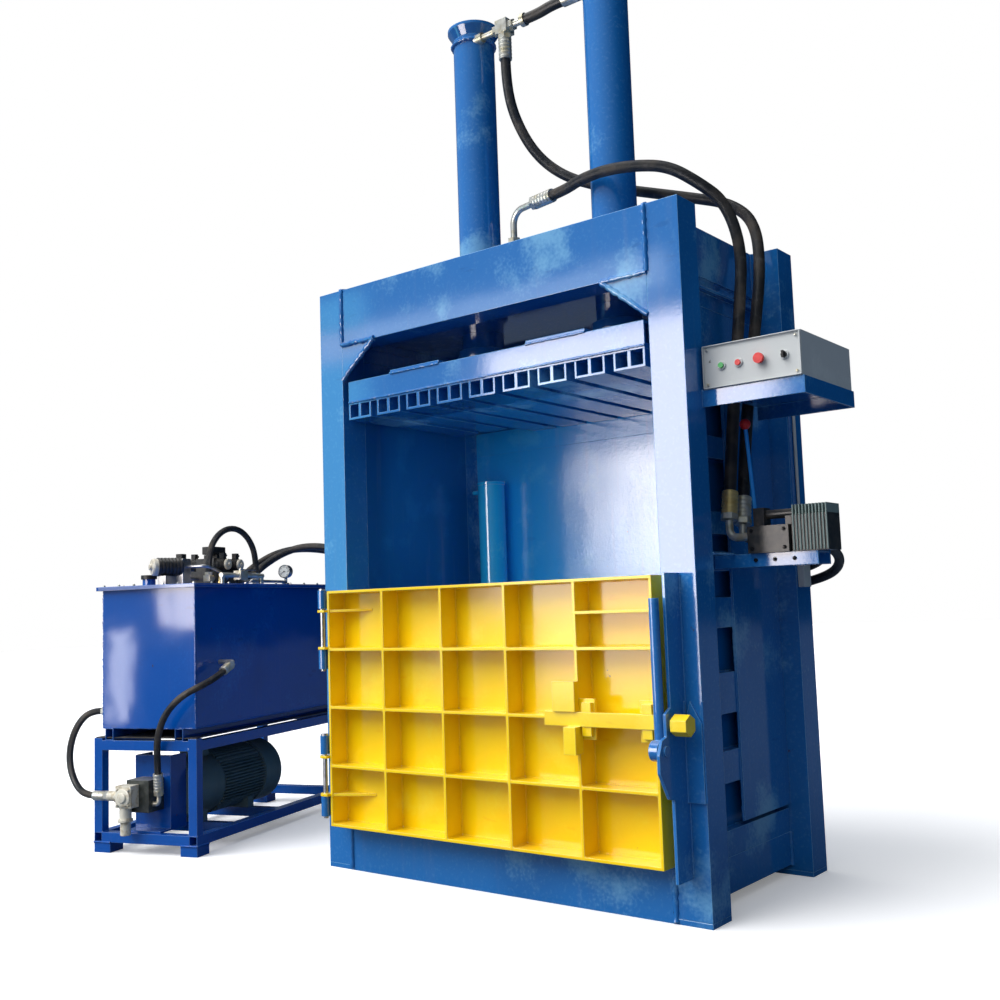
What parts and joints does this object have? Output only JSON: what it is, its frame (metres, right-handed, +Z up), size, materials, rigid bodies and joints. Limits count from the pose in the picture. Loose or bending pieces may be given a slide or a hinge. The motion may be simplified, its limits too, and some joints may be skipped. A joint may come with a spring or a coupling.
{
  "type": "vertical recycling baler",
  "caption": "Twin-cylinder vertical baling press with a ribbed front door, a guided platen and a separate hydraulic power unit.",
  "frame": {"origin": "on the floor under the middle of the press frame, on the underside of its middle floor joist", "axes": "+X to the right of the feeding side, +Y from the feeding side towards the back, +Z up"},
  "size_m": [4.2099, 1.7697, 4.096],
  "materials": {
    "press_blue": "glossy enamel over welded plate, mid blue with cyan highlights",
    "unit_blue": "glossy enamel, deep royal blue",
    "door_yellow": "satin golden yellow enamel",
    "rod_chrome": "hard chrome, polished",
    "fitting_steel": "zinc plated steel, lightly oily",
    "cabinet_grey": "light grey powder coat",
    "button_green": "glossy",
    "signal_red": "glossy",
    "black_plastic": "matte",
    "motor_paint": "dark grey green machine paint",
    "pump_iron": "cast housing in cream and dark machine paint",
    "valve_iron": "dark oiled cast iron with zinc parts",
    "lever_blue": "blue enamel on a steel rod",
    "gauge_metal": "steel case with a pale dial",
    "hose_rubber": "wrapped rubber with a fabric bloom, satin"
  },
  "bodies": {
    "root": {"arch_hose": "hose_rubber", "base_frame": "press_blue", "cap_side_hose": "hose_rubber", "chamber_floor": "press_blue", "control_cabinet": "cabinet_grey", "control_shelf": "press_blue", "corner_posts": "press_blue", "cross_hose": "hose_rubber", "cylinder_barrels": "press_blue", "cylinder_caps": "press_blue", "cylinder_deck": "press_blue", "cylinder_glands": "press_blue", "fan_cowl": "motor_paint", "hinge_pins": "fitting_steel", "hinge_sleeves": "press_blue", "latch_plate": "press_blue", "motor_body": "motor_paint", "oil_tank": "unit_blue", "press_fittings": "fitting_steel", "pressure_gauge": "gauge_metal", "pump_body": "pump_iron", "pump_bracket": "unit_blue", "pump_hose": "hose_rubber", "rear_wall": "press_blue", "return_hose": "hose_rubber", "rod_side_hose": "hose_rubber", "side_ribs": "press_blue", "side_ties": "press_blue", "side_walls": "press_blue", "skid_frame": "unit_blue", "suction_hose": "hose_rubber", "supply_hose": "hose_rubber", "tank_lid": "unit_blue", "top_beams": "press_blue", "unit_fittings": "fitting_steel", "upright_cylinder": "press_blue", "valve_block": "valve_iron", "valve_manifold": "valve_iron", "valve_shelf": "press_blue"},
    "platen": {"platen_frame": "press_blue", "platen_channels": "press_blue", "piston_rods": "rod_chrome"},
    "door": {"door_skin": "door_yellow", "door_ribs": "door_yellow", "hinge_lugs": "door_yellow"},
    "bolt": {"slide_bolt": "door_yellow"},
    "latch": {"latch_lever": "press_blue"},
    "lock": {"lock_screw": "door_yellow"},
    "panel": {"cabinet_panel": "cabinet_grey"},
    "start": {"start_button": "button_green"},
    "stop": {"stop_button": "signal_red"},
    "emergency": {"emergency_button": "signal_red"},
    "mode": {"mode_switch": "black_plastic"},
    "valve_hand": {"valve_lever": "lever_blue", "valve_knob": "signal_red"},
    "rotor": {"motor_rotor": "fitting_steel", "motor_fan": "black_plastic"},
    "filler": {"filler_cap": "black_plastic"},
    "shutoff": {"ball_valve_lever": "fitting_steel"}
  },
  "joints": [
    {"name": "platen_stroke", "type": "slide", "parent": "root", "child": "platen", "axis": [0, 0, -1], "range_m": [0, 1.3]},
    {"name": "door_swing", "type": "hinge", "parent": "root", "child": "door", "pos_m": [-0.904, -0.635, 0.75], "axis": [0, 0, -1], "range_deg": [0, 120]},
    {"name": "bolt_slide", "type": "slide", "parent": "door", "child": "bolt", "axis": [1, 0, 0], "range_m": [-0.15, 0]},
    {"name": "latch_lever_tilt", "type": "hinge", "parent": "root", "child": "latch", "pos_m": [0.918, -0.684, 0.65], "axis": [1, 0, 0], "range_deg": [0, 100]},
    {"name": "lock_screw_turn", "type": "hinge", "parent": "root", "child": "lock", "pos_m": [0.95, -0.628, 0.738], "axis": [1, 0, 0], "range_deg": [0, 360]},
    {"name": "panel_swing", "type": "hinge", "parent": "root", "child": "panel", "pos_m": [1.41, -0.4024, 2.075], "axis": [0, 0, 1], "range_deg": [0, 110]},
    {"name": "start_press", "type": "slide", "parent": "panel", "child": "start", "axis": [0, 1, 0], "range_m": [0, 0.004], "stiffness_N_per_m": 400},
    {"name": "stop_press", "type": "slide", "parent": "panel", "child": "stop", "axis": [0, 1, 0], "range_m": [0, 0.004], "stiffness_N_per_m": 400},
    {"name": "emergency_press", "type": "slide", "parent": "panel", "child": "emergency", "axis": [0, 1, 0], "range_m": [0, 0.005], "stiffness_N_per_m": 600},
    {"name": "mode_turn", "type": "hinge", "parent": "panel", "child": "mode", "pos_m": [1.345, -0.41, 2.075], "axis": [0, 1, 0], "range_deg": [-45, 45]},
    {"name": "valve_lever_tilt", "type": "hinge", "parent": "root", "child": "valve_hand", "pos_m": [1.05, -0.084, 1.44], "axis": [1, 0, 0], "range_deg": [-15, 20], "stiffness_Nm_per_rad": 30},
    {"name": "motor_spin", "type": "hinge", "parent": "root", "child": "rotor", "pos_m": [-2.23622, -0.27602, 0.28], "axis": [-0.3007, 0.9537, 0], "continuous": true},
    {"name": "filler_cap_turn", "type": "hinge", "parent": "root", "child": "filler", "pos_m": [-2.25496, -0.64891, 1.4], "axis": [0, 0, 1], "range_deg": [0, 180]},
    {"name": "shutoff_turn", "type": "hinge", "parent": "root", "child": "shutoff", "pos_m": [-1.98426, -0.24376, 1.44], "axis": [0, 0, -1], "range_deg": [0, 90]}
  ]
}
